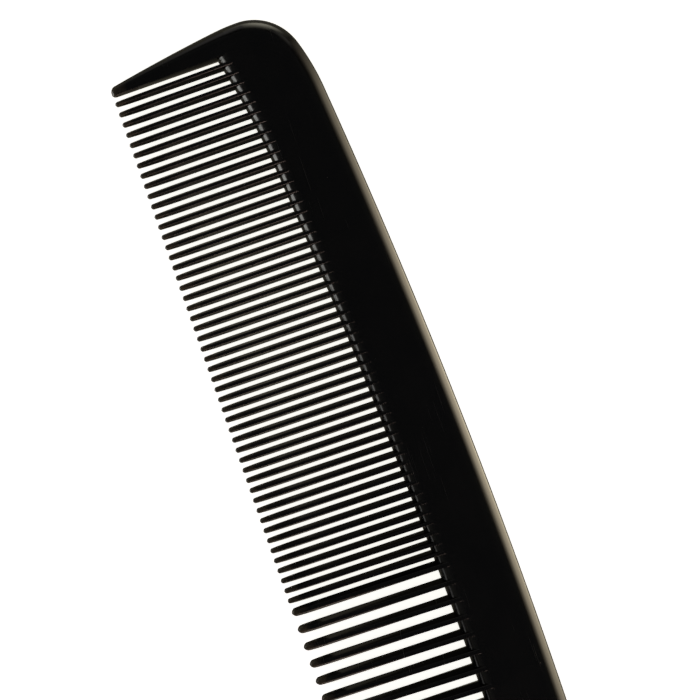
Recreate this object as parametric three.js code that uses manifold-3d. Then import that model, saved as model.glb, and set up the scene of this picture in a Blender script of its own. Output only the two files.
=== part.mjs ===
// A seven-inch styling comb moulded in one piece of black plastic, with fine teeth along one half
// and coarse teeth along the other. Millimetres.
//
// The comb lies flat: +X runs from the fine end to the coarse end, +Y from the tooth tips to the
// back, +Z up through the thickness. The origin is under the middle of the comb, on the plane of
// its lower face.
//
// A real comb of this kind is a single moulding. Its regions are separate solids here, meeting face
// to face: the spine, a guard at each end, and the teeth in pairs, each pair on its own slice of the
// web that lies between the ends of the gaps and the spine.

import * as THREE from "three";
import { mergeVertices } from "three/addons/utils/BufferGeometryUtils.js";
import Module from "manifold-3d";

// Overall
const LENGTH = 178;
const WIDTH = 28.3;
const THICKNESS = 3.8;
const TIP_Y = -WIDTH / 2;

// Plan of the back and the heads: one long arc, a shoulder, a corner and a side, all tangent
const BACK_RADIUS = 812;
const SHOULDER_RADIUS = 28;
const CORNER_RADIUS = 6.5;
const SIDE_RADIUS = 25;
const SIDE_SWEEP = THREE.MathUtils.degToRad(7.2);
const CORNER_HEIGHT = 17.05; // of the corner's centre, above the tooth tips
const EDGE_ROUNDING = 1.6; // how far the rounding of the back reaches into the face

// Ends of the gaps between teeth: one long arc, which drops away faster near the heads
const LONGEST_GAP = 18.85;
const ROOT_RADIUS = 820;
const DROP_START = 70.85; // distance from the middle of the comb
const DROP_RADIUS = 109;

// Web between the gap ends and the spine, and the taper of the teeth
const WEB_DEPTH = 2.6;
const TAPER_START = 2.2; // behind the gap ends
const TIP_THICKNESS = 1.5;
const TOOTH_BURIAL = 2; // how far a tooth runs into the web

// Tooth rows. The end of each tooth is rounded over tipRound, and narrowed by the share tipNarrow,
// which fades out over about tipReach.
const FINE = {
  name: "fine",
  count: 50,
  pitch: 1.3,
  width: 0.77,
  noseLength: 1.8,
  tipRound: 0.2,
  tipNarrow: 0.26,
  tipReach: 1.4,
};
const COARSE = {
  name: "coarse",
  count: 47,
  pitch: 2.2425,
  width: 1.2,
  noseLength: 1.4,
  tipRound: 0.5,
  tipNarrow: 0.22,
  tipReach: 0.9,
};
const TOOTH_SIDES = 6; // ridges on the moulding's parting plane, flats above and below
const TIP_STATIONS = [0.3, 1]; // times tipRound
const TEETH_PER_SLICE = 2;

// Guards
const GUARD_EDGE_RADIUS = 240;
const GUARD_OUTER_CORNER = 0.6;
const GUARD_INNER_CORNER = 0.2;
const GUARD_BEVEL = 0.15; // share of its width taken by the ridge of its inner edge

// How finely round shapes are divided
const ARC_SEGMENTS = 6;
const ROUNDING_SEGMENTS = 3;
const NOSE_SEGMENTS = 3;
const GUARD_STEPS = 7;
const GUARD_STEP_SPREAD = 2; // power that crowds the steps towards the tip
const CLEAR = 5; // how far a cutting block stands clear of what it cuts
const SAME_POINT = 1e-4; // closer than this, two points are one

const BLACK_PLASTIC = { color: 0x0b0b0c, roughness: 0.22, metalness: 0 };

const wasm = await Module();
wasm.setup();

// ---------------------------------------------------------------- solids and meshes

function solidFrom(geometry) {
  const bare = geometry.clone();
  bare.deleteAttribute("normal");
  bare.deleteAttribute("uv");
  const merged = mergeVertices(bare, SAME_POINT);
  const corners = merged.index.array;
  const triVerts = [];
  for (let i = 0; i < corners.length; i += 3) {
    const [a, b, c] = corners.subarray(i, i + 3);
    if (a !== b && b !== c && c !== a) triVerts.push(a, b, c);
  }
  return new wasm.Manifold(
    new wasm.Mesh({
      numProp: 3,
      vertProperties: merged.attributes.position.array,
      triVerts: new Uint32Array(triVerts),
    }),
  );
}

function meshFrom(solid, name) {
  const { vertProperties, triVerts } = solid.getMesh();
  const geometry = new THREE.BufferGeometry();
  geometry.setAttribute("position", new THREE.BufferAttribute(vertProperties, 3));
  geometry.setIndex(new THREE.BufferAttribute(triVerts, 1));
  geometry.computeVertexNormals();
  const mesh = new THREE.Mesh(geometry, new THREE.MeshStandardMaterial(BLACK_PLASTIC));
  mesh.name = name;
  return mesh;
}

// Moves every vertex of a geometry to where place(point) puts it.
function reshape(geometry, place) {
  const position = geometry.attributes.position;
  const point = new THREE.Vector3();
  for (let i = 0; i < position.count; i++) {
    place(point.fromBufferAttribute(position, i));
    position.setXYZ(i, point.x, point.y, point.z);
  }
  return geometry;
}

// A shape made of the points along an outline, with those that fall together taken once.
function pointsAlong(outline) {
  const points = outline.getPoints(ARC_SEGMENTS);
  const apart = (a, b) => a.distanceTo(b) > SAME_POINT;
  return new THREE.Shape(points.filter((p, i) => apart(p, points.at(i - 1))));
}

// How far an arc of this radius falls away from its crest, at a distance to one side of it.
function arcDrop(radius, distance) {
  return radius - Math.sqrt(radius ** 2 - distance ** 2);
}

// ---------------------------------------------------------------- lines of the comb's plan

function rootY(x) {
  const pastDrop = Math.max(0, Math.abs(x) - DROP_START);
  return TIP_Y + LONGEST_GAP - arcDrop(ROOT_RADIUS, x) - arcDrop(DROP_RADIUS, pastDrop);
}

function thicknessAt(x, y) {
  const taperLength = rootY(x) + TAPER_START - TIP_Y;
  const share = THREE.MathUtils.clamp((y - TIP_Y) / taperLength, 0, 1);
  return THREE.MathUtils.lerp(TIP_THICKNESS, THICKNESS, share);
}

// Distance of the comb's outer edge from its middle, at a height below the corner.
function guardEdge(y) {
  const sideX = LENGTH / 2 - SIDE_RADIUS;
  const sideY = TIP_Y + CORNER_HEIGHT;
  const sideEnd = sideY - SIDE_RADIUS * Math.sin(SIDE_SWEEP);
  if (y > sideEnd) return sideX + Math.sqrt(SIDE_RADIUS ** 2 - (y - sideY) ** 2);
  const reach = GUARD_EDGE_RADIUS - SIDE_RADIUS;
  const edgeX = sideX - reach * Math.cos(SIDE_SWEEP);
  const edgeY = sideY + reach * Math.sin(SIDE_SWEEP);
  return edgeX + Math.sqrt(GUARD_EDGE_RADIUS ** 2 - (y - edgeY) ** 2);
}

// Centre of the circle that lies at these distances from two other centres, nearer the middle.
function centreBetween(a, distanceA, b, distanceB) {
  const gap = a.distanceTo(b);
  const cosine = (gap ** 2 + distanceA ** 2 - distanceB ** 2) / (2 * gap * distanceA);
  const direction = b.clone().sub(a).normalize();
  direction.rotateAround(new THREE.Vector2(), Math.acos(cosine));
  return a.clone().addScaledVector(direction, distanceA);
}

// The back, both corners and both sides, as tangent arcs from one side to the other.
function backOutline() {
  const back = new THREE.Vector2(0, TIP_Y + WIDTH - BACK_RADIUS);
  const cornerX = LENGTH / 2 - CORNER_RADIUS;
  const corner = new THREE.Vector2(-cornerX, TIP_Y + CORNER_HEIGHT);
  const side = new THREE.Vector2(SIDE_RADIUS - LENGTH / 2, corner.y);
  const shoulder = centreBetween(
    corner,
    SHOULDER_RADIUS - CORNER_RADIUS,
    back,
    BACK_RADIUS - SHOULDER_RADIUS,
  );
  const cornerTurn = corner.clone().sub(shoulder).angle();
  const shoulderTurn = shoulder.clone().sub(back).angle();
  const sideStart = Math.PI + SIDE_SWEEP;
  const foot = TIP_Y + CLEAR; // well below the spine's front, where the outline is cut off

  const outline = new THREE.Shape();
  const arc = (centre, radius, from, to) =>
    outline.absarc(centre.x, centre.y, radius, from, to, true);
  const mirrored = (centre, radius, from, to) =>
    outline.absarc(-centre.x, centre.y, radius, Math.PI - to, Math.PI - from, true);
  outline.moveTo(guardEdge(foot), foot);
  outline.lineTo(-guardEdge(foot), foot);
  arc(side, SIDE_RADIUS, sideStart, Math.PI);
  arc(corner, CORNER_RADIUS, Math.PI, cornerTurn);
  arc(shoulder, SHOULDER_RADIUS, cornerTurn, shoulderTurn);
  arc(back, BACK_RADIUS, shoulderTurn, Math.PI - shoulderTurn);
  mirrored(shoulder, SHOULDER_RADIUS, cornerTurn, shoulderTurn);
  mirrored(corner, CORNER_RADIUS, Math.PI, cornerTurn);
  mirrored(side, SIDE_RADIUS, sideStart, Math.PI);
  return outline;
}

// ---------------------------------------------------------------- places of the teeth

// Every tooth from the fine end to the coarse end, and the planes in mid-gap on each side of it.
function layOutTeeth() {
  const gap = (row) => row.pitch - row.width;
  const rowSpan = (row) => (row.count - 1) * row.pitch + row.width;
  const innerSpan = 2 * gap(FINE) + rowSpan(FINE) + rowSpan(COARSE) + gap(COARSE);
  const teeth = [];
  const planes = [-innerSpan / 2 + gap(FINE) / 2];
  for (const row of [FINE, COARSE]) {
    for (let i = 0; i < row.count; i++) {
      const lastFine = row === FINE && i === row.count - 1;
      const start = planes.at(-1) + (i === 0 ? gap(FINE) : gap(row)) / 2;
      teeth.push({ row, x: start + row.width / 2 });
      planes.push(start + row.width + (lastFine ? gap(FINE) : gap(row)) / 2);
    }
  }
  return { teeth, planes, innerEdge: innerSpan / 2 };
}

const { teeth, planes, innerEdge } = layOutTeeth();

// The teeth in slices of the web, each from one mid-gap plane to another.
function sliceTeeth() {
  const slices = [];
  for (const row of [FINE, COARSE]) {
    const first = teeth.findIndex((tooth) => tooth.row === row);
    for (let i = 0; i < row.count; i += TEETH_PER_SLICE) {
      const end = Math.min(i + TEETH_PER_SLICE, row.count);
      slices.push({
        row,
        name: `${row.name}_teeth_${String(i / TEETH_PER_SLICE + 1).padStart(2, "0")}`,
        teeth: teeth.slice(first + i, first + end),
        start: planes[first + i],
        end: planes[first + end],
      });
    }
  }
  return slices;
}

const slices = sliceTeeth();

// ---------------------------------------------------------------- spine

// Everything on the teeth's side of the spine's front, as a block to cut with.
function toothSide() {
  const farX = LENGTH / 2 + CLEAR;
  const stations = [-farX, ...slices.map((slice) => slice.start), slices.at(-1).end, farX];
  const plan = new THREE.Shape([
    new THREE.Vector2(farX, TIP_Y - CLEAR),
    ...stations.reverse().map((x) => new THREE.Vector2(x, rootY(x) + WEB_DEPTH)),
    new THREE.Vector2(-farX, TIP_Y - CLEAR),
  ]);
  const height = THICKNESS + 2 * CLEAR;
  const block = new THREE.ExtrudeGeometry(plan, { depth: height, bevelEnabled: false });
  return solidFrom(block.translate(0, 0, -height / 2));
}

// An outline as a slab of full thickness whose edge is rounded from face to face.
function roundedSlab(outline) {
  const land = 0.2; // upright strip left in the middle of the rounding
  const slab = new THREE.ExtrudeGeometry(pointsAlong(outline), {
    depth: land,
    bevelThickness: (THICKNESS - land) / 2,
    bevelSize: EDGE_ROUNDING,
    bevelOffset: -EDGE_ROUNDING,
    bevelSegments: ROUNDING_SEGMENTS,
  });
  return slab.translate(0, 0, -land / 2);
}

function makeSpine(cutter) {
  return meshFrom(solidFrom(roundedSlab(backOutline())).subtract(cutter), "spine");
}

// ---------------------------------------------------------------- teeth

// One tooth along +Y from its tip, a six-sided spike that grows thicker towards the web.
function toothSolid(tooth) {
  const { row, x } = tooth;
  const length = rootY(x) - TIP_Y + TOOTH_BURIAL;
  const widthShare = (s) => {
    const intoRound = Math.min(1, s / row.tipRound);
    return Math.sqrt(1 - (1 - intoRound) ** 2) * (1 - row.tipNarrow * Math.exp(-s / row.tipReach));
  };
  const stations = [...TIP_STATIONS.map((n) => n * row.tipRound), 2 * row.tipReach, length];
  const profile = [
    new THREE.Vector2(0, 0),
    ...stations.map((s) => new THREE.Vector2(widthShare(s), s)),
    new THREE.Vector2(0, length),
  ];
  const flatHeight = Math.cos(Math.PI / TOOTH_SIDES); // of the unit spike's flats
  const spike = new THREE.LatheGeometry(profile, TOOTH_SIDES, Math.PI / TOOTH_SIDES);
  reshape(spike, (p) => {
    p.z *= thicknessAt(x, TIP_Y + p.y) / 2 / flatHeight;
    p.x = x + (p.x * row.width) / 2;
    p.y += TIP_Y;
  });
  return solidFrom(spike);
}

// A length of the web, whose front is a nose that falls from both faces to the parting plane.
function webSolid(start, end, noseLength) {
  const half = THICKNESS / 2;
  const side = new THREE.Shape();
  side.moveTo(WEB_DEPTH, -half);
  side.lineTo(WEB_DEPTH, half);
  side.absellipse(noseLength, 0, noseLength, half, Math.PI / 2, 1.5 * Math.PI, false);
  const web = new THREE.ExtrudeGeometry(side, {
    depth: end - start,
    curveSegments: NOSE_SEGMENTS,
    bevelEnabled: false,
  });
  const alongX = new THREE.Matrix4().makeBasis(
    new THREE.Vector3(0, 1, 0),
    new THREE.Vector3(0, 0, 1),
    new THREE.Vector3(1, 0, 0),
  );
  web.applyMatrix4(alongX).translate(start, 0, 0);
  return solidFrom(reshape(web, (p) => (p.y += rootY(p.x))));
}

function makeSlice(slice) {
  const web = webSolid(slice.start, slice.end, slice.row.noseLength);
  const solid = slice.teeth.reduce((whole, tooth) => whole.add(toothSolid(tooth)), web);
  return meshFrom(solid, slice.name);
}

// ---------------------------------------------------------------- guards

// A unit section, from its inner edge at x = 0 to its outer edge at x = 1 and from -1 to 1 through
// the thickness. The inner edge is ridged like a tooth's, and the outer one rounded like the back's.
function guardSection(rounding) {
  const section = new THREE.Shape();
  section.moveTo(GUARD_BEVEL, 1);
  section.lineTo(0, 0);
  section.lineTo(GUARD_BEVEL, -1);
  section.absellipse(1 - rounding, 0, rounding, 1, -Math.PI / 2, Math.PI / 2, false);
  return section;
}

// A guard on the +X side: the section drawn out from tip to root at its true width and thickness.
function guardSolid() {
  const top = rootY(innerEdge) + WEB_DEPTH + CLEAR;
  const rounding = EDGE_ROUNDING / (guardEdge(top) - innerEdge);
  const cornerCut = (radius, s) => arcDrop(radius, Math.max(0, radius - s));
  const guard = new THREE.ExtrudeGeometry(guardSection(rounding), {
    depth: 1,
    steps: GUARD_STEPS,
    curveSegments: ARC_SEGMENTS,
    bevelEnabled: false,
  });
  reshape(guard.rotateX(-Math.PI / 2), (p) => {
    const s = (top - TIP_Y) * p.y ** GUARD_STEP_SPREAD;
    p.y = TIP_Y + s;
    const inner = innerEdge + cornerCut(GUARD_INNER_CORNER, s);
    const outer = guardEdge(p.y) - cornerCut(GUARD_OUTER_CORNER, s);
    p.x = THREE.MathUtils.lerp(inner, outer, p.x);
    p.z *= (thicknessAt(innerEdge, p.y) - cornerCut(GUARD_OUTER_CORNER, s)) / 2;
  });
  return solidFrom(guard);
}

function makeGuard(name, side, plane, noseLength, cutter) {
  const web = webSolid(Math.abs(plane), innerEdge + EDGE_ROUNDING, noseLength);
  const solid = guardSolid().add(web).intersect(cutter);
  return meshFrom(side > 0 ? solid : solid.mirror([1, 0, 0]), name);
}

// ---------------------------------------------------------------- the comb

function makeComb() {
  const comb = new THREE.Group();
  const cutter = toothSide();
  comb.add(makeSpine(cutter));
  comb.add(makeGuard("fine_end_guard", -1, slices[0].start, FINE.noseLength, cutter));
  comb.add(makeGuard("coarse_end_guard", 1, slices.at(-1).end, COARSE.noseLength, cutter));
  for (const row of [FINE, COARSE]) {
    const rowGroup = new THREE.Group();
    for (const slice of slices.filter((s) => s.row === row)) rowGroup.add(makeSlice(slice));
    comb.add(rowGroup);
  }
  comb.position.z = THICKNESS / 2;
  return comb;
}

const part = new THREE.Group();
part.add(makeComb());

export default part;
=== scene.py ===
"""Looks of a one-piece black plastic hair comb that lies on a pale floor.

The comb lies along X, its fine end towards -X, with the tips of its teeth towards -Y and its
lower face on Z = 0. Lengths are in millimetres where they are named, and in metres in the meshes.
"""

import math

import bmesh
import bpy
from mathutils import Matrix, Vector
from mathutils.geometry import intersect_line_sphere_2d


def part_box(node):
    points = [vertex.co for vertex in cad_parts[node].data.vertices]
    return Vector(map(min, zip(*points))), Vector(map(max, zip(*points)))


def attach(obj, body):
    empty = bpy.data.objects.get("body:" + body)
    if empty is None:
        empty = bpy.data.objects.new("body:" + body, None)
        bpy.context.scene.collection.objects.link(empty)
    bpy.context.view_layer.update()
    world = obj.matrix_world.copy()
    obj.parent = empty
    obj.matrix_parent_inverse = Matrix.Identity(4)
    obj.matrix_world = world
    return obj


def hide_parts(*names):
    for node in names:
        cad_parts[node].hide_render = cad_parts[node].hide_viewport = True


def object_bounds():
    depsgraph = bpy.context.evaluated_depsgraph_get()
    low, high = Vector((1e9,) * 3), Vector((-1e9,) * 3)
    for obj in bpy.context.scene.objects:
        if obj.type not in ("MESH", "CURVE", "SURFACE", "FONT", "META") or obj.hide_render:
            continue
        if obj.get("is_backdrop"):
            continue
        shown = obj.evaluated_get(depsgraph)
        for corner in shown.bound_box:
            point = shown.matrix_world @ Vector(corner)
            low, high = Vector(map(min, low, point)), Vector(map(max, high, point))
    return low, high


MM = 0.001

# ---------------------------------------------------------------- sizes, in millimetres

# Plan of the back and the heads, as arcs that run into each other
BACK_RADIUS = 812
SHOULDER_RADIUS = 28
CORNER_RADIUS = 6.5
SIDE_RADIUS = 25
SIDE_SWEEP = math.radians(7.2)
GUARD_EDGE_RADIUS = 240
CORNER_HEIGHT = 17.05  # of the corner's centre, above the tooth tips

# Ends of the gaps between the teeth: one long arc that drops away faster near the heads
LONGEST_GAP = 18.85
ROOT_RADIUS = 820
DROP_START = 70.85
DROP_RADIUS = 109

# Web between the gap ends and the spine
WEB_DEPTH = 2.6
TAPER_START = 2.2  # behind the gap ends, where the faces begin to slope down to the tips
TIP_THICKNESS = 1.5
NOSE_LENGTH = 1.8  # from the gap ends back to where the gullets reach the faces
NOSE_PROFILE = 0.44  # 0.5 is round, 0.25 a straight ramp
TOOTH_BURIAL = 2.0

# Rim: how far the rounding of the back reaches into the face, and how full it is
RIM_REACH = 2.1
RIM_POWER = 1.9
RIM_RINGS = 14

FINE = {
    "name": "fine",
    "count": 50,
    "pitch": 1.3,
    "width": 0.86,
    "flat": 0.38,
    "edge_round": 0.08,
    "ridge_round": 0.05,
    "tip_round": 0.26,
    "tip_narrow": 0.26,
    "tip_reach": 1.4,
}
COARSE = {
    "name": "coarse",
    "count": 47,
    "pitch": 2.2425,
    "width": 1.24,
    "flat": 0.54,
    "edge_round": 0.11,
    "ridge_round": 0.08,
    "tip_round": 0.5,
    "tip_narrow": 0.22,
    "tip_reach": 0.9,
}
TEETH_PER_SLICE = 2
TIP_END = 0.02  # share of the tip's rounding at which its very end is cut flat
NOSE_SEGMENTS = 12

# Guards: the inner side as distances from the inner edge and shares of the half thickness
GUARD_FLANK = [(0, 0), (0.012, 0.07), (0.19, 0.95), (0.21, 0.985), (0.25, 1)]
GUARD_ROWS = 26
GUARD_OUTER_CORNER = 0.62
GUARD_INNER_CORNER = 0.35
GUARD_TIP_ROUND = 0.6
WEB_IN_GUARD = 0.43  # how far the half gap's web runs into the guard

# Plastic: colours, and depths of the relief
CLOUD_COLOURS = ((0.0026, 0.0028, 0.0033), (0.0032, 0.0033, 0.0037))
# Browner, paler tint at the tips of the teeth: partly wear, partly a painted glint on the tips.
TIP_WEAR_AND_GLINT_COLOUR = (0.03, 0.024, 0.017)
SCRATCH_COLOUR = (0.011, 0.011, 0.011)
DUST_COLOUR = (0.11, 0.105, 0.095)
RIPPLE_DEPTH = 0.05
PEEL_DEPTH = 0.0022
SCRATCH_DEPTH = 0.0015
DUST_HEIGHT = 0.008

# Camera
CAMERA_PLACE = (-53.92, 12.64, 182.79)
CAMERA_RIGHT = (0.32478, 0.94499, -0.03902)
CAMERA_FORWARD = (0.03539, -0.05337, -0.99795)
SENSOR = 36
CAMERA_LENS = SENSOR * 1500 / 700

# Studio
# Glow of the floor under the comb, dimmer and warmer than the surround: painted shade under the comb and in
# the gaps between its teeth.
PAINTED_SHADE_FLOOR_GLOW = (0.945, 0.935, 0.875)
FLOOR_COLOUR = (0.75, 0.76, 0.9)
SURROUND_COLOUR = (1, 1, 1)
PAINTED_SHADE_SPREAD = (0.12, 0.5)  # where the floor's dimmer, warmer glow under the comb, a painted shade, runs into plain white, in metres
ROOM_GLOW = [
    (0, (0.13, 0.12, 0.09)),
    (0.5, (0.21, 0.195, 0.145)),
    (0.58, (0.17, 0.16, 0.125)),
    (0.68, (0.09, 0.088, 0.08)),
    (0.88, (0.04, 0.041, 0.041)),
    (1, (0.034, 0.0358, 0.036)),
]
SKY_LIGHT = {"height": 900, "size": 1400, "power": 2.2}
PANELS = {
    "back_panel": {
        "place": (-10, 322, -30),
        "target": (-10, 0, -30),
        "width": 620,
        "height": 580,
        "brightness": 5,
        "colour": (1, 0.86, 0.62),
        "fade": (100, 20, 260),
    },
    "head_panel": {
        "place": (-405, 132, 105),
        "target": (-85, 60, 105),
        "width": 360,
        "height": 330,
        "brightness": 3,
        "colour": (1, 0.95, 0.76),
        "fade": (88, 20, 270),
    },
    "tooth_panel": {
        "place": (-97, -190, 0),
        "target": (-97, 0, 0),
        "width": 320,
        "height": 90,
        "brightness": 5.2,
        "colour": (1, 1, 0.95),
        "fade": (51, 20, 45),
    },
    "far_panel": {
        "place": (330, -20, 145),
        "target": (-50, -20, 145),
        "width": 460,
        "height": 230,
        "brightness": 7,
        "colour": (1, 0.74, 0.62),
        "fade": (150, 150, 260),
    },
    "near_panel": {
        "place": (-430, -30, 110),
        "target": (-50, -30, 110),
        "width": 300,
        "height": 220,
        "brightness": 0.4,
        "colour": (1, 0.95, 0.9),
        "fade": (80, 100, 220),
    },
    "shoulder_panel": {
        "place": (-290, 290, 200),
        "target": (0, 0, 200),
        "width": 420,
        "height": 220,
        "brightness": 0.35,
        "colour": (1, 0.94, 0.84),
        "fade": (110, 180, 310),
    },
}
STRETCH_FREE = 3.0  # length of a tooth at each end that keeps its shape when the tooth is fitted

# ---------------------------------------------------------------- the frame

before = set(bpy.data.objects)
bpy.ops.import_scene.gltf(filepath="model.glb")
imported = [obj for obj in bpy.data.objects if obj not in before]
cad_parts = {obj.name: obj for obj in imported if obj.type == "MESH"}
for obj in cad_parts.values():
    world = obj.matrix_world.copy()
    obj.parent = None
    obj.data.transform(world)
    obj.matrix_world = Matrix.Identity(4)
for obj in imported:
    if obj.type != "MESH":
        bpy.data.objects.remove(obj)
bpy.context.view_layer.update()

LOW, HIGH = (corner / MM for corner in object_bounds())
LENGTH = HIGH.x - LOW.x
THICKNESS = HIGH.z
MIDDLE = THICKNESS / 2
TIP_Y = LOW.y


def arc_drop(radius, distance):
    """How far an arc falls away from its crest, at a distance to one side of it."""
    return radius - math.sqrt(radius**2 - distance**2)


def root_y(x):
    """Height of the gap ends at a place along the comb."""
    past_drop = max(0, abs(x) - DROP_START)
    crest = TIP_Y + LONGEST_GAP
    return crest - arc_drop(ROOT_RADIUS, x) - arc_drop(DROP_RADIUS, past_drop)


# Planes in mid-gap where the slices of teeth meet, from the fine end to the coarse end
FINE_SLICES = [f"fine_teeth_{i + 1:02d}" for i in range(FINE["count"] // TEETH_PER_SLICE)]
COARSE_SLICES = [f"coarse_teeth_{i + 1:02d}" for i in range((COARSE["count"] + 1) // TEETH_PER_SLICE)]
PLANES = [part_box(name)[0].x / MM for name in FINE_SLICES + COARSE_SLICES]
PLANES.append(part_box(COARSE_SLICES[-1])[1].x / MM)
SEAM_END = LENGTH / 2 + 5  # where the lines between guards and spine are aimed, past the outline
ROOT_STATIONS = [-SEAM_END] + PLANES + [SEAM_END]
INNER_EDGE = PLANES[-1] + (COARSE["pitch"] - COARSE["width"]) / 2

SIDE_CENTRE = Vector((SIDE_RADIUS - LENGTH / 2, TIP_Y + CORNER_HEIGHT))
CORNER_CENTRE = Vector((CORNER_RADIUS - LENGTH / 2, TIP_Y + CORNER_HEIGHT))
BACK_CENTRE = Vector((0, HIGH.y - BACK_RADIUS))


def lerp(a, b, share):
    return a + (b - a) * share


def clamp(value):
    return min(1, max(0, value))


def root_line(x):
    """The gap ends as straight lengths between the slices' planes, so that neighbours meet."""
    for left, right in zip(ROOT_STATIONS, ROOT_STATIONS[1:]):
        if x <= right:
            return lerp(root_y(left), root_y(right), (x - left) / (right - left))
    return root_y(x)


def half_thickness(x, y):
    """Half the comb's thickness on its flat faces, which slope down towards the tips."""
    taper_length = root_line(x) + TAPER_START - TIP_Y
    return lerp(TIP_THICKNESS, THICKNESS, clamp((y - TIP_Y) / taper_length)) / 2


def shoulder_centre():
    """Centre of the shoulder's arc, which touches the corner's circle and the back's."""
    gap = BACK_CENTRE - CORNER_CENTRE
    to_corner = SHOULDER_RADIUS - CORNER_RADIUS
    to_back = BACK_RADIUS - SHOULDER_RADIUS
    cosine = (gap.length**2 + to_corner**2 - to_back**2) / (2 * gap.length * to_corner)
    turn = math.atan2(gap.y, gap.x) + math.acos(cosine)
    return CORNER_CENTRE + to_corner * Vector((math.cos(turn), math.sin(turn)))


SHOULDER_CENTRE = shoulder_centre()


def guard_edge(y):
    """Distance of the outer edge from the middle of the comb, below the corner."""
    side_end = SIDE_CENTRE.y - SIDE_RADIUS * math.sin(SIDE_SWEEP)
    if y > side_end:
        return -SIDE_CENTRE.x + math.sqrt(SIDE_RADIUS**2 - (y - SIDE_CENTRE.y) ** 2)
    reach = GUARD_EDGE_RADIUS - SIDE_RADIUS
    edge_x = -SIDE_CENTRE.x - reach * math.cos(SIDE_SWEEP)
    edge_y = SIDE_CENTRE.y + reach * math.sin(SIDE_SWEEP)
    return edge_x + math.sqrt(GUARD_EDGE_RADIUS**2 - (y - edge_y) ** 2)


def seam_point(side, inset):
    """Where the line between guard and spine crosses the line at this inset from the edge."""
    plane = abs(PLANES[0] if side < 0 else PLANES[-1])
    inner_end = Vector((plane, root_y(plane) + WEB_DEPTH))
    outer_end = Vector((SEAM_END, root_y(SEAM_END) + WEB_DEPTH))
    centre = Vector((-SIDE_CENTRE.x, SIDE_CENTRE.y))
    crossings = intersect_line_sphere_2d(inner_end, outer_end, centre, SIDE_RADIUS - inset, False)
    crossing = max(crossings, key=lambda point: point.x)
    return Vector((side * crossing.x, crossing.y))


def rim_profile():
    """Insets from the outer edge and shares of the half thickness, from the edge to the face."""
    profile = []
    for ring in range(RIM_RINGS + 1):
        turn = math.pi / 2 * ring / RIM_RINGS
        out = math.cos(turn) ** (2 / RIM_POWER)
        up = math.sin(turn) ** (2 / RIM_POWER)
        profile.append((RIM_REACH * (1 - out), up))
    return profile


# ---------------------------------------------------------------- modelling by hand, in code


def deselect_all():
    if bpy.context.object and bpy.context.object.mode == "EDIT":
        bpy.ops.object.mode_set(mode="OBJECT")
    bpy.ops.object.select_all(action="DESELECT")


def edit(piece):
    deselect_all()
    piece.select_set(True)
    bpy.context.view_layer.objects.active = piece
    bpy.ops.object.mode_set(mode="EDIT")


def add_block(name, low, high):
    """A cube stretched between two corners, open for editing with everything selected."""
    deselect_all()
    middle = (Vector(low) + Vector(high)) / 2
    size = Vector(high) - Vector(low)
    bpy.ops.mesh.primitive_cube_add(size=1, location=middle * MM)
    block = bpy.context.object
    block.name = name
    block.scale = size * MM
    bpy.ops.object.transform_apply(location=True, rotation=True, scale=True)
    edit(block)
    bpy.ops.mesh.select_all(action="SELECT")
    return block


def pick(piece, kind, test):
    """Selects the vertices, edges or faces of an open piece whose middle, in millimetres, and
    direction pass a test."""
    mesh = bmesh.from_edit_mesh(piece.data)
    bpy.ops.mesh.select_all(action="DESELECT")
    bpy.ops.mesh.select_mode(type=kind)
    if kind == "VERT":
        for vertex in mesh.verts:
            vertex.select_set(test(vertex.co / MM))
    if kind == "EDGE":
        for edge in mesh.edges:
            ends = [vertex.co / MM for vertex in edge.verts]
            edge.select_set(test((ends[0] + ends[1]) / 2, (ends[1] - ends[0]).normalized()))
    if kind == "FACE":
        for face in mesh.faces:
            face.select_set(test(face.calc_center_median() / MM, face.normal))
    mesh.select_flush_mode()
    bmesh.update_edit_mesh(piece.data)


def bisect_all(place, normal):
    bpy.ops.mesh.select_all(action="SELECT")
    bpy.ops.mesh.bisect(plane_co=Vector(place) * MM, plane_no=normal)


def near(a, b, reach=0.001):
    return abs(a - b) < reach


def reshape(piece, place):
    """Moves every vertex to where place(point) puts it, in millimetres."""
    for vertex in piece.data.vertices:
        vertex.co = place(vertex.co / MM) * MM


def apply_modifier(piece, kind, **settings):
    deselect_all()
    piece.select_set(True)
    bpy.context.view_layer.objects.active = piece
    modifier = piece.modifiers.new(kind.lower(), kind)
    for name, value in settings.items():
        setattr(modifier, name, value)
    bpy.ops.object.modifier_apply(modifier=modifier.name)


def unite(piece, other):
    """Joins another closed piece to this one, and takes the other away."""
    apply_modifier(piece, "BOOLEAN", operation="UNION", object=other, solver="EXACT")
    bpy.data.objects.remove(other)


def copy_of(piece, name):
    copy = piece.copy()
    copy.data = piece.data.copy()
    copy.name = name
    bpy.context.scene.collection.objects.link(copy)
    return copy


def smooth(piece, angle=35):
    """Shades a piece smooth up to an angle, with the large faces keeping their own direction."""
    deselect_all()
    piece.select_set(True)
    bpy.context.view_layer.objects.active = piece
    bpy.ops.object.shade_smooth_by_angle(angle=math.radians(angle))
    apply_modifier(piece, "WEIGHTED_NORMAL", keep_sharp=True, weight=100)


def face_out(piece):
    edit(piece)
    bpy.ops.mesh.select_all(action="SELECT")
    bpy.ops.mesh.remove_doubles(threshold=0.0005 * MM)
    bpy.ops.mesh.normals_make_consistent(inside=False)
    bpy.ops.object.mode_set(mode="OBJECT")


# ---------------------------------------------------------------- teeth


def width_share(row, s):
    """Share of its full section that a tooth has at a distance from its tip."""
    into_round = min(1, s / row["tip_round"])
    rounding = math.sqrt(1 - (1 - into_round) ** 2)
    return rounding * (1 - row["tip_narrow"] * math.exp(-s / row["tip_reach"]))


def tooth_stations(row):
    """Distances from the tip at which a tooth's section is set."""
    shares = (0.06, 0.2, 0.4, 0.65, 1)
    reaches = (0.5, 1, 1.6, 2.4, 3.4)
    in_round = [share * row["tip_round"] for share in shares]
    behind = [row["tip_round"] + reach * row["tip_reach"] for reach in reaches]
    return in_round + behind


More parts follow.
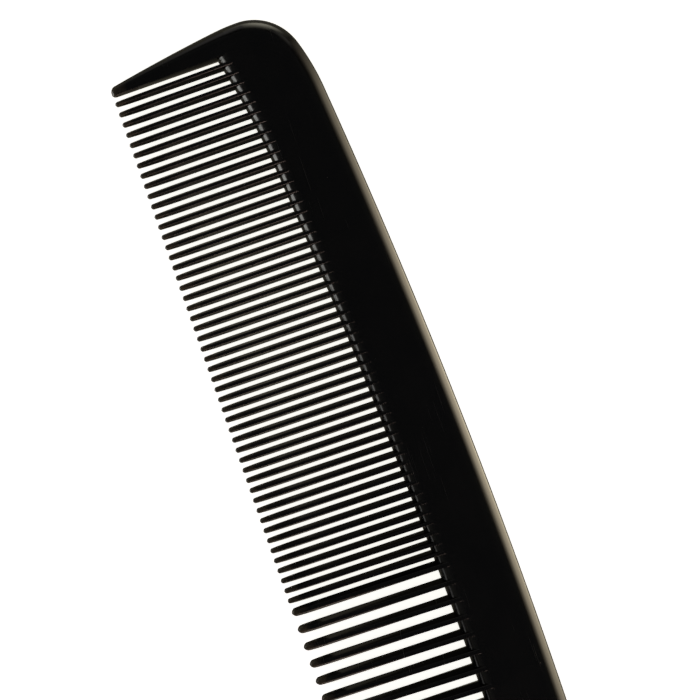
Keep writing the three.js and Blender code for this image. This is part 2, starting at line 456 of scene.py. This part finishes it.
def model_tooth(row):
    """A tooth on X = 0 with its gap ends on Y = 0: flats above and below, ridges at mid height."""
    half = row["width"] / 2
    flat = row["flat"] / 2
    tooth = add_block("tooth", (-flat, -LONGEST_GAP, -MIDDLE), (flat, TOOTH_BURIAL, MIDDLE))
    bisect_all((0, 0, 0), (0, 0, 1))
    bpy.ops.transform.resize(value=(half / flat, 1, 1), center_override=(0, 0, 0))
    pick(tooth, "EDGE", lambda at, way: near(abs(at.z), MIDDLE) and near(abs(way.y), 1))
    bpy.ops.mesh.bevel(offset=row["edge_round"] * MM, segments=4, affect="EDGES")
    pick(tooth, "EDGE", lambda at, way: near(at.z, 0) and near(abs(way.y), 1))
    bpy.ops.mesh.bevel(offset=row["ridge_round"] * MM, segments=3, affect="EDGES")
    for station in tooth_stations(row):
        bisect_all((0, station - LONGEST_GAP, 0), (0, 1, 0))
    rings = [(station, station) for station in tooth_stations(row)]
    for ring, station in [(0, TIP_END * row["tip_round"])] + rings:
        share = width_share(row, station)
        at_y = ring - LONGEST_GAP
        pick(tooth, "VERT", lambda at: near(at.y, at_y))
        bpy.ops.transform.resize(value=(share, 1, share), center_override=(0, at_y * MM, 0))
    bpy.ops.object.mode_set(mode="OBJECT")
    return tooth


def model_web(left, right):
    """A length of the web, its front rounded from both faces down to the parting plane."""
    web = add_block("web", (left, 0, -MIDDLE), (right, WEB_DEPTH, MIDDLE))
    pick(web, "EDGE", lambda at, way: near(at.y, 0) and near(abs(way.x), 1))
    bpy.ops.mesh.bevel(offset=NOSE_LENGTH * MM, segments=NOSE_SEGMENTS, profile=NOSE_PROFILE, affect="EDGES")
    bisect_all((0, TAPER_START, 0), (0, 1, 0))
    bpy.ops.object.mode_set(mode="OBJECT")
    return web


def model_slice(row, count):
    """A web with its teeth, the left side of the web on X = 0."""
    piece = model_web(0, count * row["pitch"])
    for i in range(count):
        tooth = model_tooth(row)
        reshape(tooth, lambda p: p + Vector(((i + 0.5) * row["pitch"], 0, 0)))
        unite(piece, tooth)
    face_out(piece)
    return piece


def fit_slice(piece, left, right, first_tooth):
    """Puts a copy of a slice between its planes, on the line of the gap ends, tips in line."""

    def place(p):
        x = min(right, max(left, p.x + first_tooth))
        to_root = clamp((p.y + LONGEST_GAP - STRETCH_FREE) / (LONGEST_GAP - 2 * STRETCH_FREE))
        y = p.y + lerp(TIP_Y + LONGEST_GAP, root_line(x), to_root)
        z = p.z / MIDDLE * half_thickness(x, y)
        return Vector((x, y, z + MIDDLE))

    reshape(piece, place)
    smooth(piece)


def make_slices():
    """Every slice of teeth, each a copy of its row's own."""
    pieces = {}
    for row, names in ((FINE, FINE_SLICES), (COARSE, COARSE_SLICES)):
        models = {count: model_slice(row, count) for count in (1, TEETH_PER_SLICE)}
        for i, name in enumerate(names):
            low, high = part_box(name)
            count = min(TEETH_PER_SLICE, row["count"] - i * TEETH_PER_SLICE)
            left = low.x / MM
            right = high.x / MM
            start = right - count * row["pitch"]
            pieces[name] = copy_of(models[count], name + "_moulding")
            fit_slice(pieces[name], left, right, start)
        for model in models.values():
            bpy.data.objects.remove(model)
    return pieces


# ---------------------------------------------------------------- spine and guards


def add_point(name, place):
    """A piece of one vertex, open for editing."""
    deselect_all()
    bpy.ops.mesh.primitive_plane_add(size=MM, location=Vector(place) * MM)
    piece = bpy.context.object
    piece.name = name
    bpy.ops.object.transform_apply(location=True, rotation=True, scale=True)
    edit(piece)
    bpy.ops.mesh.select_all(action="SELECT")
    bpy.ops.mesh.merge(type="CENTER")
    return piece


def sweep(centre, turn, steps):
    """Draws the selected vertex on along an arc, clockwise seen from above."""
    bpy.ops.mesh.spin(
        steps=steps,
        dupli=False,
        angle=turn,
        center=(centre.x * MM, centre.y * MM, 0),
        axis=(0, 0, 1),
    )


def direction(a, b):
    return math.atan2(b.y - a.y, b.x - a.x)


def mirrored(centre):
    return Vector((-centre.x, centre.y))


def sweep_outline(start, end):
    """Draws the selected vertex along the back's outline, from one seam to the other."""
    corner_turn = direction(SHOULDER_CENTRE, CORNER_CENTRE)
    shoulder_turn = direction(BACK_CENTRE, SHOULDER_CENTRE)
    first = direction(SIDE_CENTRE, start) % (2 * math.pi) - math.pi
    last = -direction(mirrored(SIDE_CENTRE), end)
    sweep(SIDE_CENTRE, first, 3)
    sweep(CORNER_CENTRE, math.pi - corner_turn, 20)
    sweep(SHOULDER_CENTRE, corner_turn - shoulder_turn, 12)
    sweep(BACK_CENTRE, 2 * shoulder_turn - math.pi, 48)
    sweep(mirrored(SHOULDER_CENTRE), corner_turn - shoulder_turn, 12)
    sweep(mirrored(CORNER_CENTRE), math.pi - corner_turn, 20)
    sweep(mirrored(SIDE_CENTRE), last, 3)


def is_spine_front(at, way):
    """True of the edges along the front of the spine's faces."""
    on_line = near(at.y, root_line(at.x) + WEB_DEPTH, 0.01)
    return on_line and PLANES[0] < at.x < PLANES[-1] and near(abs(at.z), MIDDLE)


def make_spine():
    """The back bar and both heads: rings along the rim, a flat face, and their twins below."""
    rings = []
    for inset, up in rim_profile():
        start = seam_point(-1, inset)
        rings.append(add_point("spine_moulding", (start.x, start.y, up * MIDDLE)))
        sweep_outline(start, seam_point(1, inset))
    deselect_all()
    for ring in rings:
        ring.select_set(True)
    spine = rings[0]
    bpy.context.view_layer.objects.active = spine
    bpy.ops.object.join()

    edit(spine)
    heights = [up * MIDDLE for inset, up in rim_profile()]
    for lower, upper in zip(heights, heights[1:]):
        pick(spine, "VERT", lambda at: near(at.z, lower) or near(at.z, upper))
        bpy.ops.mesh.bridge_edge_loops()

    end = seam_point(1, RIM_REACH)
    pick(spine, "VERT", lambda at: near(at.x, end.x) and near(at.y, end.y) and near(at.z, MIDDLE))
    for plane in PLANES[::-1]:
        to = Vector((plane, root_y(plane) + WEB_DEPTH))
        step = (to - end) * MM
        bpy.ops.mesh.extrude_region_move(TRANSFORM_OT_translate={"value": (step.x, step.y, 0)})
        end = to
    pick(spine, "VERT", lambda at: near(at.z, MIDDLE))
    bpy.ops.mesh.edge_face_add()
    bpy.ops.object.mode_set(mode="OBJECT")
    apply_modifier(spine, "MIRROR", use_axis=(False, False, True), merge_threshold=0.001 * MM)

    edit(spine)
    pick(spine, "EDGE", is_spine_front)
    bpy.ops.mesh.bridge_edge_loops()
    bpy.ops.mesh.select_all(action="DESELECT")
    bpy.ops.mesh.select_mode(type="EDGE")
    bpy.ops.mesh.select_non_manifold()
    bpy.ops.mesh.fill()
    bpy.ops.object.mode_set(mode="OBJECT")
    reshape(spine, lambda p: p + Vector((0, 0, MIDDLE)))
    face_out(spine)
    smooth(spine)
    return spine


def corner_cut(radius, s):
    """How much a rounded corner takes off at a distance from the end."""
    return arc_drop(radius, max(0, radius - s))


def guard_columns():
    """Across a guard's upper half: edge that each point hangs on, its distance, its height."""
    inner = [("inner", distance, up) for distance, up in GUARD_FLANK]
    outer = [("outer", inset, up) for inset, up in reversed(rim_profile())]
    return inner + outer


def make_guard(name, side):
    """The thick tooth at one end, with the half gap beside it."""
    columns = guard_columns()
    deselect_all()
    bpy.ops.mesh.primitive_grid_add(x_subdivisions=len(columns) - 1, y_subdivisions=GUARD_ROWS, size=1)
    guard = bpy.context.object
    guard.name = name + "_moulding"
    plane = PLANES[0] if side < 0 else PLANES[-1]
    seam_y = seam_point(side, 0).y
    full_width = guard_edge(seam_y) - INNER_EDGE

    def place(p):
        edge, distance, up = columns[round((p.x * MM + 0.5) * (len(columns) - 1))]
        along = p.y * MM + 0.5
        s = (seam_y - TIP_Y) * along**2
        y = TIP_Y + s
        inner = INNER_EDGE + corner_cut(GUARD_INNER_CORNER, s)
        outer = guard_edge(y) - corner_cut(GUARD_OUTER_CORNER, s)
        share = (outer - inner) / full_width
        x = inner + distance * share if edge == "inner" else outer - distance * share
        if along > 0.999:
            end = seam_point(side, distance)
            x = x if edge == "inner" else abs(end.x)
            y = root_line(side * x) + WEB_DEPTH
        into_tip = min(1, s / GUARD_TIP_ROUND)
        half = half_thickness(side * INNER_EDGE, y) * math.sqrt(1 - (1 - into_tip) ** 2)
        return Vector((side * x, y, up * half))

    reshape(guard, place)
    apply_modifier(guard, "MIRROR", use_axis=(False, False, True), merge_threshold=0.001 * MM)
    edit(guard)
    bpy.ops.mesh.select_mode(type="EDGE")
    bpy.ops.mesh.select_all(action="DESELECT")
    bpy.ops.mesh.select_non_manifold()
    bpy.ops.mesh.edge_face_add()
    face_out(guard)

    web_end = side * (INNER_EDGE + WEB_IN_GUARD)
    web = model_web(min(plane, web_end), max(plane, web_end))

    def place_web(p):
        y = p.y + root_line(p.x)
        seam_x = side * min(abs(p.x), INNER_EDGE)
        return Vector((p.x, y, p.z / MIDDLE * half_thickness(seam_x, y)))

    reshape(web, place_web)
    unite(guard, web)
    reshape(guard, lambda p: p + Vector((0, 0, MIDDLE)))
    face_out(guard)
    smooth(guard)
    return guard


# ---------------------------------------------------------------- black plastic


def add_node(tree, kind, settings=None, **inputs):
    """A node of a material with its settings and the values of its inputs."""
    node = tree.nodes.new("ShaderNode" + kind)
    for name, value in (settings or {}).items():
        setattr(node, name, value)
    for name, value in inputs.items():
        node.inputs[name.replace("_", " ")].default_value = value
    return node


def stretched_place(tree, scale, turn=0):
    """Places on the comb, in metres, turned about Z and stretched."""
    place = add_node(tree, "TexCoord")
    turned = add_node(tree, "Mapping", Rotation=(0, 0, math.radians(turn)), Scale=scale)
    tree.links.new(place.outputs["Object"], turned.inputs["Vector"])
    return turned.outputs["Vector"]


def noise(tree, scale, detail=2, rough=0.5, place=None):
    """Soft random values, in lumps of about one over the scale, in metres."""
    texture = add_node(tree, "TexNoise", Scale=scale, Detail=detail, Roughness=rough)
    tree.links.new(place or stretched_place(tree, (1, 1, 1)), texture.inputs["Vector"])
    return texture.outputs["Fac"]


def fit(tree, value, low, high, to_low=0, to_high=1):
    """Runs smoothly from one value to another while the input runs from low to high."""
    ramp = add_node(tree, "MapRange", {"interpolation_type": "SMOOTHSTEP"})
    ramp.inputs["From Min"].default_value = low
    ramp.inputs["From Max"].default_value = high
    ramp.inputs["To Min"].default_value = to_low
    ramp.inputs["To Max"].default_value = to_high
    tree.links.new(value, ramp.inputs["Value"])
    return ramp.outputs["Result"]


def combine(tree, operation, a, b):
    """One value from two; either may be a number."""
    sum_node = add_node(tree, "Math", {"operation": operation})
    for socket, value in zip(sum_node.inputs, (a, b)):
        if isinstance(value, (int, float)):
            socket.default_value = value
        else:
            tree.links.new(value, socket)
    return sum_node.outputs[0]


def blend(tree, share, a, b):
    """A colour between two, each a colour or another blend."""
    mix = add_node(tree, "Mix", {"data_type": "RGBA"})
    for socket, value in ((mix.inputs[6], a), (mix.inputs[7], b)):
        if isinstance(value, tuple):
            socket.default_value = (*value, 1)
        else:
            tree.links.new(value, socket)
    tree.links.new(share, mix.inputs[0])
    return mix.outputs[2]


def hairlines(tree, turn, fineness):
    """Fine scratches in one direction: long thin streaks, here and there."""
    streaks = noise(tree, 1, 1, 0.5, stretched_place(tree, (90, fineness, 90), turn))
    patches = noise(tree, 55, 1, 0.5, stretched_place(tree, (1, 1.4, 1), turn + 31))
    lines = fit(tree, streaks, 0.7, 0.76)
    return combine(tree, "MULTIPLY", lines, fit(tree, patches, 0.55, 0.66))


def specks(tree, scale, size, scarcity):
    """Tiny round spots, most of them left out."""
    cells = add_node(tree, "TexVoronoi", {"feature": "F1"}, Scale=scale)
    tree.links.new(stretched_place(tree, (1, 1, 1)), cells.inputs["Vector"])
    spots = fit(tree, cells.outputs["Distance"], size, size * 0.6)
    chance = add_node(tree, "SeparateXYZ")
    tree.links.new(cells.outputs["Color"], chance.inputs[0])
    kept = fit(tree, chance.outputs["X"], scarcity, scarcity + 0.02)
    return combine(tree, "MULTIPLY", spots, kept)


def near_tips(tree):
    """One at the tips of the teeth, fading to nothing a few millimetres behind them."""
    place = add_node(tree, "TexCoord")
    parts = add_node(tree, "SeparateXYZ")
    tree.links.new(place.outputs["Object"], parts.inputs[0])
    wander = fit(tree, noise(tree, 700), 0.3, 0.7, -0.5 * MM, 0.5 * MM)
    along = combine(tree, "ADD", parts.outputs["Y"], wander)
    return fit(tree, along, (TIP_Y + 2.2) * MM, (TIP_Y + 0.2) * MM)


def raised(tree, height, depth, below=None):
    """Relief of a depth in millimetres on top of another."""
    bump = add_node(tree, "Bump", Strength=1.0, Distance=depth * MM)
    tree.links.new(height, bump.inputs["Height"])
    if below:
        tree.links.new(below, bump.inputs["Normal"])
    return bump.outputs["Normal"]


def plastic_colour(tree, scratches, dust, tip_wear_and_glint):
    """Nearly black in faint clouds, browner and paler at the tips as wear and as a painted glint there,
    paler along scratches and on dust.
    """
    clouds = fit(tree, noise(tree, 260, 2, 0.6), 0.35, 0.65)
    cloudy = blend(tree, clouds, *CLOUD_COLOURS)
    # Tips tinted browner and paler: partly wear, partly a painted glint.
    with_tip_wear_and_glint = blend(tree, tip_wear_and_glint, cloudy, TIP_WEAR_AND_GLINT_COLOUR)
    scratched = blend(tree, scratches, with_tip_wear_and_glint, SCRATCH_COLOUR)
    return blend(tree, dust, scratched, DUST_COLOUR)


def plastic_roughness(tree, scratches, dust, tip_wear_and_glint):
    """Polished, with a fine grain, and duller in smears, scratches, dust and wear."""
    smears = fit(tree, noise(tree, 120, 2, 0.6), 0.46, 0.66)
    dull = combine(tree, "MULTIPLY", smears, 0.06)
    for mark, dullness in ((tip_wear_and_glint, 0.1), (scratches, 0.22), (dust, 0.5)):
        dull = combine(tree, "ADD", dull, combine(tree, "MULTIPLY", mark, dullness))
    fine_grain = fit(tree, noise(tree, 2600, 1, 0.6), 0.3, 0.7, 0.1, 0.15)
    return combine(tree, "ADD", dull, fine_grain)


def plastic_relief(tree, scratches, dust):
    """The moulding's slow ripple, its fine peel, the scratches cut into it and dust on it."""
    ripple = raised(tree, noise(tree, 75, 2, 0.4), RIPPLE_DEPTH)
    peel = raised(tree, noise(tree, 900, 2, 0.5), PEEL_DEPTH, ripple)
    cut = raised(tree, combine(tree, "MULTIPLY", scratches, -1), SCRATCH_DEPTH, peel)
    return raised(tree, dust, DUST_HEIGHT, cut)


def black_plastic():
    """Polished black plastic, a little scratched and dusty, dull at the tips from wear and browner there,
    partly wear and partly a painted glint.
    """
    material = bpy.data.materials.new("black_plastic")
    material.use_nodes = True
    tree = material.node_tree
    shader = tree.nodes["Principled BSDF"]
    shader.inputs["IOR"].default_value = 1.5

    scratches = hairlines(tree, 4, 9000)
    for turn, fineness in ((-38, 12000), (71, 10000)):
        scratches = combine(tree, "MAXIMUM", scratches, hairlines(tree, turn, fineness))
    dust = combine(tree, "MAXIMUM", specks(tree, 420, 0.022, 0.86), specks(tree, 900, 0.03, 0.9))
    # Mask at the tips: dulls them as wear, and tints them as wear and as a painted glint.
    tip_wear_and_glint = near_tips(tree)

    tree.links.new(plastic_colour(tree, scratches, dust, tip_wear_and_glint), shader.inputs["Base Color"])
    tree.links.new(plastic_roughness(tree, scratches, dust, tip_wear_and_glint), shader.inputs["Roughness"])
    tree.links.new(plastic_relief(tree, scratches, dust), shader.inputs["Normal"])
    return material


# ---------------------------------------------------------------- studio


def glowing(name, colour, strength):
    material = bpy.data.materials.new(name)
    material.use_nodes = True
    nodes = material.node_tree.nodes
    nodes.clear()
    light = nodes.new("ShaderNodeEmission")
    light.inputs["Color"].default_value = (*colour, 1)
    light.inputs["Strength"].default_value = strength
    output = nodes.new("ShaderNodeOutputMaterial")
    output.name = "Material Output"
    material.node_tree.links.new(light.outputs["Emission"], output.inputs["Surface"])
    return material


def glowing_paper():
    """Pale matt paper, lit from behind and from above, with its glow dimmer and warmer under the comb as
    painted shade.
    """
    paper = glowing("pale_paper_painted_shade", PAINTED_SHADE_FLOOR_GLOW, 1)
    tree = paper.node_tree
    place = add_node(tree, "TexCoord")
    away = add_node(tree, "VectorMath", {"operation": "LENGTH"})
    tree.links.new(place.outputs["Object"], away.inputs[0])
    # The glow is dimmer and warmer near the comb: painted shade.
    glow_with_painted_shade = blend(tree, fit(tree, away.outputs["Value"], *PAINTED_SHADE_SPREAD), PAINTED_SHADE_FLOOR_GLOW, SURROUND_COLOUR)
    tree.links.new(glow_with_painted_shade, tree.nodes["Emission"].inputs["Color"])
    matt = add_node(tree, "BsdfDiffuse", Color=(*FLOOR_COLOUR, 1))
    both = add_node(tree, "AddShader")
    tree.links.new(tree.nodes["Emission"].outputs[0], both.inputs[0])
    tree.links.new(matt.outputs[0], both.inputs[1])
    tree.links.new(both.outputs[0], tree.nodes["Material Output"].inputs["Surface"])
    return paper


def make_backdrop():
    """A pale floor inside a pale surround, as on a light table."""
    deselect_all()
    bpy.ops.mesh.primitive_plane_add(size=4, location=(0, 0, -0.02 * MM))
    floor = bpy.context.object
    floor.name = "floor"
    bpy.ops.object.transform_apply(location=True)
    floor.data.materials.append(glowing_paper())
    bpy.ops.mesh.primitive_uv_sphere_add(segments=48, ring_count=24, radius=1.9)
    surround = bpy.context.object
    surround.name = "surround"
    bpy.ops.object.shade_smooth()
    surround.data.materials.append(glowing("pale_surround", SURROUND_COLOUR, 1))
    for piece in (floor, surround):
        piece.visible_glossy = False
        piece.visible_diffuse = False
        piece.visible_shadow = False
        piece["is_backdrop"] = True


def sky_light(height, size, power):
    """A wide soft light overhead that casts the comb's faint shadow."""
    bpy.ops.object.light_add(type="AREA", location=(0, 0, height * MM))
    light = bpy.context.object
    light.name = "sky_light"
    light.data.shape = "DISK"
    light.data.size = size * MM
    light.data.energy = power
    light.visible_glossy = False
    light.visible_camera = False


def soft_panel(name, place, target, width, height, brightness, colour, fade):
    """A large soft light panel that faces a target, brightest at its middle and along its foot.

    Lengths are in millimetres. The fade gives the distance sideways over which the light falls
    away, the height at which it starts to fade, and the height at which it is gone."""
    deselect_all()
    bpy.ops.mesh.primitive_plane_add(size=1)
    panel = bpy.context.object
    panel.name = name
    panel.scale = (width * MM, height * MM, 1)
    way = Vector(target) - Vector(place)
    panel.rotation_euler = way.to_track_quat("Z", "Y").to_euler()
    panel.location = Vector(place) * MM
    panel.data.materials.append(fading_glow(name, place, way, brightness, colour, fade))
    panel.visible_camera = False
    panel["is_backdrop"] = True


def fading_glow(name, place, way, brightness, colour, fade):
    """Light that falls away sideways from a panel's middle, and upwards from its foot."""
    sideways, start, end = fade
    glow = glowing(name, colour, brightness)
    tree = glow.node_tree
    where = add_node(tree, "NewGeometry")
    beside = Vector((way.y, -way.x, 0)).normalized()
    across = add_node(tree, "VectorMath", {"operation": "DOT_PRODUCT"})
    across.inputs[1].default_value = beside / (sideways * MM)
    tree.links.new(where.outputs["Position"], across.inputs[0])
    middle = Vector(place).dot(beside) / sideways
    off_middle = combine(tree, "SUBTRACT", across.outputs["Value"], middle)
    bell = combine(tree, "POWER", math.exp(-0.5), combine(tree, "POWER", off_middle, 2))
    parts = add_node(tree, "SeparateXYZ")
    height = add_node(tree, "MapRange")
    height.inputs["From Min"].default_value = end * MM
    height.inputs["From Max"].default_value = start * MM
    tree.links.new(where.outputs["Position"], parts.inputs[0])
    tree.links.new(parts.outputs["Z"], height.inputs["Value"])
    upwards = combine(tree, "POWER", height.outputs["Result"], 2)
    strength = combine(tree, "MULTIPLY", combine(tree, "MULTIPLY", bell, upwards), brightness)
    tree.links.new(strength, tree.nodes["Emission"].inputs["Strength"])
    return glow


def dim_room():
    """A dark room that is a little lighter towards the horizon than overhead."""
    world = bpy.data.worlds.new("dim_room")
    world.use_nodes = True
    tree = world.node_tree
    way = add_node(tree, "TexCoord")
    parts = add_node(tree, "SeparateXYZ")
    height = add_node(tree, "MapRange")
    height.inputs["From Min"].default_value = -1
    ramp = add_node(tree, "ValToRGB")
    stops = ramp.color_ramp.elements
    while len(stops) < len(ROOM_GLOW):
        stops.new(1)
    for stop, (place, colour) in zip(stops, ROOM_GLOW):
        stop.position = place
        stop.color = (*colour, 1)
    tree.links.new(way.outputs["Generated"], parts.inputs[0])
    tree.links.new(parts.outputs["Z"], height.inputs["Value"])
    tree.links.new(height.outputs["Result"], ramp.inputs["Fac"])
    tree.links.new(ramp.outputs["Color"], tree.nodes["Background"].inputs["Color"])
    return world


def light_studio():
    for name, settings in PANELS.items():
        soft_panel(name, **settings)
    sky_light(**SKY_LIGHT)
    bpy.context.scene.world = dim_room()
    bpy.context.scene.view_settings.view_transform = "Standard"


def place_camera():
    """Almost straight above the fine end, with the comb's length running down the picture."""
    right = Vector(CAMERA_RIGHT).normalized()
    forward = Vector(CAMERA_FORWARD)
    forward = (forward - right * forward.dot(right)).normalized()
    down = forward.cross(right)
    camera = bpy.data.objects.new("camera", bpy.data.cameras.new("camera"))
    bpy.context.scene.collection.objects.link(camera)
    turn = Matrix((right, -down, -forward)).transposed()
    camera.matrix_world = Matrix.Translation(Vector(CAMERA_PLACE) * MM) @ turn.to_4x4()
    camera.data.lens = CAMERA_LENS
    camera.data.sensor_width = SENSOR
    camera.data.sensor_height = SENSOR
    camera.data.clip_start = 0.01
    bpy.context.scene.camera = camera


# ---------------------------------------------------------------- putting it together


def main():
    place_camera()
    pieces = make_slices()
    pieces["spine"] = make_spine()
    pieces["fine_end_guard"] = make_guard("fine_end_guard", -1)
    pieces["coarse_end_guard"] = make_guard("coarse_end_guard", 1)
    plastic = black_plastic()
    for node, piece in pieces.items():
        piece.data.materials.clear()
        piece.data.materials.append(plastic)
        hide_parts(node)
        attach(piece, "root")
    make_backdrop()
    light_studio()


main()
